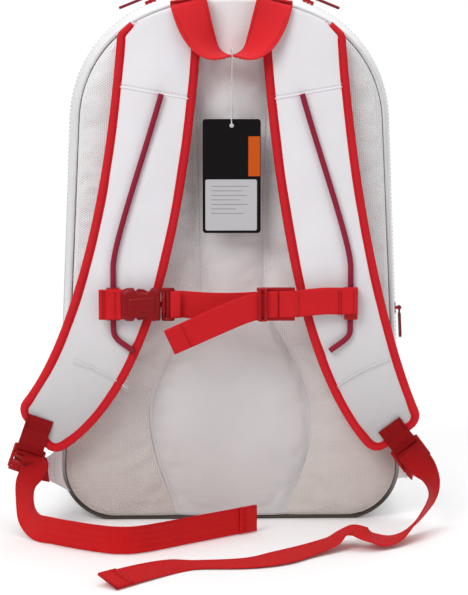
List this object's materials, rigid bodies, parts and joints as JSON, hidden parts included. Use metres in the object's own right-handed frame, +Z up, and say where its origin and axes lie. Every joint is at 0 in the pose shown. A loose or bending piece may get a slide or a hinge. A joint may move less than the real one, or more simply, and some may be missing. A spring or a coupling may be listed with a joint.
{
  "type": "racket backpack",
  "caption": "Tall padded sports backpack with a racket compartment, curved shoulder straps, sliding chest strap, haul loop and zipped pockets",
  "frame": {"origin": "on the floor under the middle of the bag, 98 mm behind the plane where the back panel is sewn to the side walls", "axes": "+Z up; +X to the right of someone facing the harness, the wearer's left; -Y out of the back panel towards the wearer"},
  "size_m": [0.406, 0.4649, 0.5111],
  "materials": {
    "shell_fabric": "matt white woven polyester",
    "back_mesh": "pale warm-grey knitted spacer mesh",
    "center_fabric": "pale grey smooth padded fabric",
    "strap_fabric": "smooth white coated fabric",
    "lining_mesh": "pale grey air mesh",
    "foam": "closed-cell foam, unseen inside the strap",
    "board": "sheet stiffener, unseen inside the bag",
    "divider_foam": "padded grey lining",
    "web_red": "red polyester webbing and binding, twill weave",
    "piping_dark": "dark magenta-red corded piping",
    "buckle_plastic": "dark red acetal, glossy",
    "ladder_plastic": "red acetal, glossy",
    "zip_tape": "red zip tape with a nylon coil",
    "zip_metal": "red lacquered die-cast slider",
    "pull_rubber": "dark red moulded pull",
    "cord_white": "thin white string",
    "card": "black card with a plain white panel and an orange panel"
  },
  "bodies": {
    "bag": {"back_board": "board", "back_pad_left": "back_mesh", "back_pad_right": "back_mesh", "back_center_pad": "center_fabric", "back_piping": "shell_fabric", "rear_gusset": "shell_fabric", "main_zip_tape": "zip_tape", "front_gusset": "shell_fabric", "base_panel": "shell_fabric", "front_panel": "shell_fabric", "racket_divider": "divider_foam", "front_pocket": "shell_fabric", "front_zip_tape": "zip_tape", "side_zip_tape_left": "zip_tape", "side_zip_tape_right": "zip_tape", "corner_wing_left": "shell_fabric", "corner_wing_right": "shell_fabric", "strap_root_left": "strap_fabric", "strap_root_right": "strap_fabric", "lower_webbing_left": "web_red", "lower_webbing_right": "web_red", "lower_tail_left": "web_red", "lower_tail_right": "web_red"},
    "haul": {"haul_loop": "web_red"},
    "cord": {"tag_cord": "cord_white"},
    "tag": {"tag_card": "card"},
    "strap_left": {"strap_lining_left": "lining_mesh", "strap_foam_left": "foam", "strap_cover_left": "strap_fabric", "strap_binding_left": "web_red", "strap_rail_left": "piping_dark", "strap_end_loop_left": "web_red"},
    "ladder_left": {"ladder_lock_left": "ladder_plastic"},
    "strap_right": {"strap_lining_right": "lining_mesh", "strap_foam_right": "foam", "strap_cover_right": "strap_fabric", "strap_binding_right": "web_red", "strap_rail_right": "piping_dark", "strap_end_loop_right": "web_red"},
    "ladder_right": {"ladder_lock_right": "ladder_plastic"},
    "chest_left": {"rail_clip_left": "ladder_plastic", "chest_webbing_left": "web_red", "buckle_socket": "buckle_plastic"},
    "chest_right": {"rail_clip_right": "ladder_plastic", "chest_webbing_right": "web_red", "chest_ladder_lock": "ladder_plastic", "chest_webbing_main": "web_red"},
    "plug": {"buckle_plug": "buckle_plastic"},
    "arm_upper": {"latch_arm_upper": "buckle_plastic"},
    "arm_lower": {"latch_arm_lower": "buckle_plastic"},
    "main_zip_left": {"main_slider_left": "zip_metal"},
    "main_tab_left": {"main_pull_left": "pull_rubber"},
    "main_zip_right": {"main_slider_right": "zip_metal"},
    "main_tab_right": {"main_pull_right": "pull_rubber"},
    "side_zip_left": {"side_slider_left": "zip_metal"},
    "side_tab_left": {"side_pull_left": "pull_rubber"},
    "side_zip_right": {"side_slider_right": "zip_metal"},
    "side_tab_right": {"side_pull_right": "pull_rubber"},
    "front_zip": {"front_slider": "zip_metal"},
    "front_tab": {"front_pull": "pull_rubber"}
  },
  "joints": [
    {"name": "strap_left_swing", "type": "hinge", "parent": "bag", "child": "strap_left", "pos_m": [-0.0692, -0.1275, 0.4341], "axis": [-1, 0, 0], "range_deg": [0, 25], "deforming": ["lower_webbing_left", "lower_tail_left"]},
    {"name": "strap_right_swing", "type": "hinge", "parent": "bag", "child": "strap_right", "pos_m": [0.0692, -0.1275, 0.4341], "axis": [-1, 0, 0], "range_deg": [0, 25], "deforming": ["lower_webbing_right", "lower_tail_right"]},
    {"name": "ladder_left_tilt", "type": "hinge", "parent": "strap_left", "child": "ladder_left", "pos_m": [-0.18987, -0.1264, 0.07498], "axis": [-0.9454, 0, 0.326], "range_deg": [0, 20]},
    {"name": "ladder_right_tilt", "type": "hinge", "parent": "strap_right", "child": "ladder_right", "pos_m": [0.1635, -0.1264, 0.07713], "axis": [-0.8065, 0, -0.5912], "range_deg": [0, 20]},
    {"name": "chest_left_height", "type": "slide", "parent": "strap_left", "child": "chest_left", "axis": [0, 0, 1], "range_m": [-0.008, 0.016]},
    {"name": "chest_right_height", "type": "slide", "parent": "strap_right", "child": "chest_right", "axis": [0, 0, 1], "range_m": [-0.008, 0.016]},
    {"name": "buckle_release", "type": "slide", "parent": "chest_right", "child": "plug", "axis": [1, 0, 0], "range_m": [0, 0.042], "deforming": ["chest_webbing_main"]},
    {"name": "latch_upper_squeeze", "type": "hinge", "parent": "plug", "child": "arm_upper", "pos_m": [-0.0672, -0.15, 0.225], "axis": [0, -1, 0], "range_deg": [0, 6]},
    {"name": "latch_lower_squeeze", "type": "hinge", "parent": "plug", "child": "arm_lower", "pos_m": [-0.0672, -0.15, 0.205], "axis": [0, 1, 0], "range_deg": [0, 6]},
    {"name": "main_zip_left_travel", "type": "hinge", "parent": "bag", "child": "main_zip_left", "pos_m": [0, -0.032, 0.307], "axis": [0, 1, 0], "range_deg": [0, 18]},
    {"name": "main_pull_left_lift", "type": "hinge", "parent": "main_zip_left", "child": "main_tab_left", "pos_m": [-0.07904, -0.032, 0.50264], "axis": [0, 1, 0], "range_deg": [0, 110]},
    {"name": "main_zip_right_travel", "type": "hinge", "parent": "bag", "child": "main_zip_right", "pos_m": [0, -0.032, 0.307], "axis": [0, -1, 0], "range_deg": [0, 18]},
    {"name": "main_pull_right_lift", "type": "hinge", "parent": "main_zip_right", "child": "main_tab_right", "pos_m": [0.07904, -0.032, 0.50264], "axis": [0, -1, 0], "range_deg": [0, 110]},
    {"name": "side_zip_left_travel", "type": "slide", "parent": "bag", "child": "side_zip_left", "axis": [0.0484, 0, 0.9988], "range_m": [-0.005, 0.18]},
    {"name": "side_pull_left_lift", "type": "hinge", "parent": "side_zip_left", "child": "side_tab_left", "pos_m": [-0.17733, 0.014, 0.13544], "axis": [0, 1, 0], "range_deg": [0, 150]},
    {"name": "side_zip_right_travel", "type": "slide", "parent": "bag", "child": "side_zip_right", "axis": [-0.0484, 0, 0.9988], "range_m": [-0.06, 0.125]},
    {"name": "side_pull_right_lift", "type": "hinge", "parent": "side_zip_right", "child": "side_tab_right", "pos_m": [0.17466, 0.014, 0.19044], "axis": [0, -1, 0], "range_deg": [0, 150]},
    {"name": "front_zip_travel", "type": "slide", "parent": "bag", "child": "front_zip", "axis": [1, 0, 0], "range_m": [-0.004, 0.14]},
    {"name": "front_pull_lift", "type": "hinge", "parent": "front_zip", "child": "front_tab", "pos_m": [-0.07, 0.11662, 0.26478], "axis": [0, 0.3474, -0.9377], "range_deg": [0, 150]},
    {"name": "haul_loop_fold", "type": "hinge", "parent": "bag", "child": "haul", "pos_m": [0, -0.1242, 0.493], "axis": [-1, 0, 0], "range_deg": [0, 110]},
    {"name": "tag_cord_hang", "type": "hinge", "parent": "haul", "child": "cord", "pos_m": [0, -0.1275, 0.443], "axis": [1, 0, 0], "range_deg": [0, 110]},
    {"name": "tag_swing", "type": "hinge", "parent": "cord", "child": "tag", "pos_m": [0, -0.1275, 0.443], "axis": [-1, 0, 0], "range_deg": [0, 45], "deforming": ["tag_cord"]}
  ],
  "couplings": [
    {"joint": "strap_right_swing", "follows": "strap_left_swing", "ratio": 1},
    {"joint": "chest_right_height", "follows": "chest_left_height", "ratio": 1},
    {"joint": "latch_lower_squeeze", "follows": "latch_upper_squeeze", "ratio": 1},
    {"joint": "tag_cord_hang", "follows": "haul_loop_fold", "ratio": 1}
  ]
}
